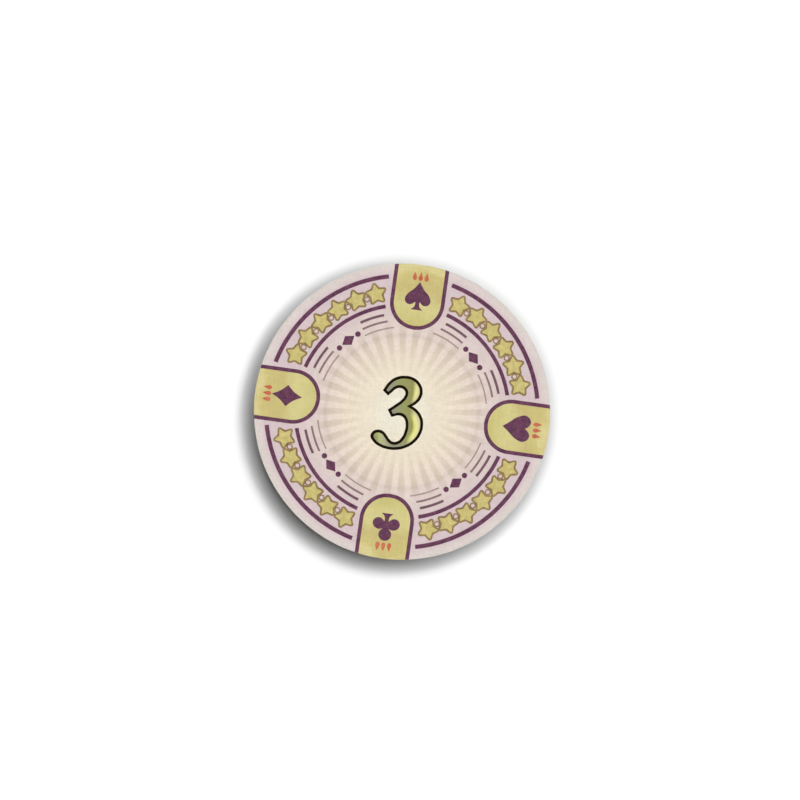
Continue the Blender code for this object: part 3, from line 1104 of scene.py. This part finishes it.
corners = [(x * FLOOR_HALF, y * FLOOR_HALF, -FLOOR_DROP) for x, y in ((-1, -1), (1, -1), (1, 1), (-1, 1))]
floor_mesh = bpy.data.meshes.new("floor")
floor_mesh.from_pydata(corners, [], [(0, 1, 2, 3)])
floor_mesh.materials.append(studio_white)
floor = bpy.data.objects.new("floor", floor_mesh)
bpy.context.scene.collection.objects.link(floor)

sky = bpy.data.worlds.new("white_sky")
sky.use_nodes = True
bpy.context.scene.world = sky
backdrop = sky.node_tree.nodes["Background"]
backdrop.inputs["Color"].default_value = (1.0, 1.0, 1.0, 1.0)
strength = spread(sky.node_tree, seen_directly(sky.node_tree), 0.0, 1.0, SKY_STRENGTH, 1.0)
sky.node_tree.links.new(strength.outputs[0], backdrop.inputs["Strength"])


# Light: a white tent with a panel on each of four sides and one underneath lights the chip, its shoulder
# as brightly as its faces. Softboxes at one height, in a horseshoe that is open to the lower left of the
# picture, light the floor and throw the shadow.

PICTURE_TURN = radians(8.0)
TENT_PANELS = 4
TENT_PANEL_SIZE = 1.0
TENT_RADIUS = 1.23
TENT_HEIGHT = 0.86
TENT_POWER = 10.55
UNDER_DEPTH = 1.5
UNDER_POWER = 25.0
HORSESHOE_LAMPS = 7
HORSESHOE_LAMP_SIZE = 0.58
HORSESHOE_HEIGHT = 1.5
HORSESHOE_RADIUS = 0.78
HORSESHOE_AHEAD = 0.59
HORSESHOE_HALF_ARC = radians(118.0)
HORSESHOE_POWER = 2.88
HORSESHOE_FALL = 0.56
UPPER_RIGHT = radians(45.0)


def lit_set(name, state):
    """What a lamp lights: the floor alone (INCLUDE), or all but the floor (EXCLUDE)."""
    lit = bpy.data.collections.new(name)
    lit.objects.link(floor)
    lit.collection_objects[0].light_linking.link_state = state
    return lit


def softbox(name, size, place, power, lit, bounces):
    """A round lamp that faces the middle of the chip, and how many surfaces may pass its light on."""
    lamp = bpy.data.lights.new(name, "AREA")
    lamp.shape = "DISK"
    lamp.size = size
    lamp.energy = power
    lamp.cycles.max_bounces = bounces
    box = bpy.data.objects.new(name, lamp)
    box.location = Matrix.Rotation(PICTURE_TURN, 3, "Z") @ place
    box.rotation_euler = box.location.to_track_quat("Z", "Y").to_euler()
    box.visible_camera = False
    box.light_linking.receiver_collection = lit
    bpy.context.scene.collection.objects.link(box)
    return box


chip_only = lit_set("lit_by_tent", "EXCLUDE")
for number in range(TENT_PANELS):
    turn = number * 2 * pi / TENT_PANELS
    place = Vector((TENT_RADIUS * cos(turn), TENT_RADIUS * sin(turn), TENT_HEIGHT))
    softbox(f"tent_panel_{number + 1}", TENT_PANEL_SIZE, place, TENT_POWER, chip_only, bounces=0)
below = Vector((0.0, 0.0, -UNDER_DEPTH))
under_panel = softbox("under_panel", TENT_PANEL_SIZE, below, UNDER_POWER, chip_only, bounces=0)
under_panel.light_linking.blocker_collection = chip_only

floor_only = lit_set("lit_by_horseshoe", "INCLUDE")
for number in range(HORSESHOE_LAMPS):
    along = HORSESHOE_HALF_ARC * (2 * number / (HORSESHOE_LAMPS - 1) - 1)
    ahead = HORSESHOE_AHEAD + HORSESHOE_RADIUS * cos(along)
    place = Vector((ahead, HORSESHOE_RADIUS * sin(along), HORSESHOE_HEIGHT))
    place.rotate(Matrix.Rotation(UPPER_RIGHT, 3, "Z"))
    # A lamp further off is stronger, so that the floor under the chip gets as much from it
    evened = (place.length / HORSESHOE_HEIGHT) ** 3
    power = HORSESHOE_POWER * evened * (1.0 + HORSESHOE_FALL * cos(along))
    softbox(f"floor_lamp_{number + 1}", HORSESHOE_LAMP_SIZE, place, power, floor_only, bounces=1)


# Camera: straight above the chip on a 100 mm lens, turned so that the print leans to the right, and as far
# up as puts the rim at its size in the picture.

PICTURE_PIXELS = 800
RIM_PIXELS = 148.0
CHIP_RIGHT = 2.0
CHIP_BELOW = 11.7
LENS = 100.0
SENSOR = 36.0
NEAREST = 0.005

pixel = RIM_RADIUS / RIM_PIXELS
camera_data = bpy.data.cameras.new("camera")
camera_data.lens = LENS
camera_data.sensor_width = SENSOR
camera_data.clip_start = NEAREST
camera = bpy.data.objects.new("camera", camera_data)
camera.rotation_euler = (0.0, 0.0, PICTURE_TURN)
aside = Matrix.Rotation(PICTURE_TURN, 2) @ Vector((-CHIP_RIGHT * pixel, CHIP_BELOW * pixel))
rim_height = CHIP_THICKNESS - SHOULDER_RADIUS
camera.location = (*aside, rim_height + PICTURE_PIXELS * pixel * LENS / SENSOR)
bpy.context.scene.collection.objects.link(camera)
bpy.context.scene.camera = camera
bpy.context.scene.view_settings.view_transform = "Standard"
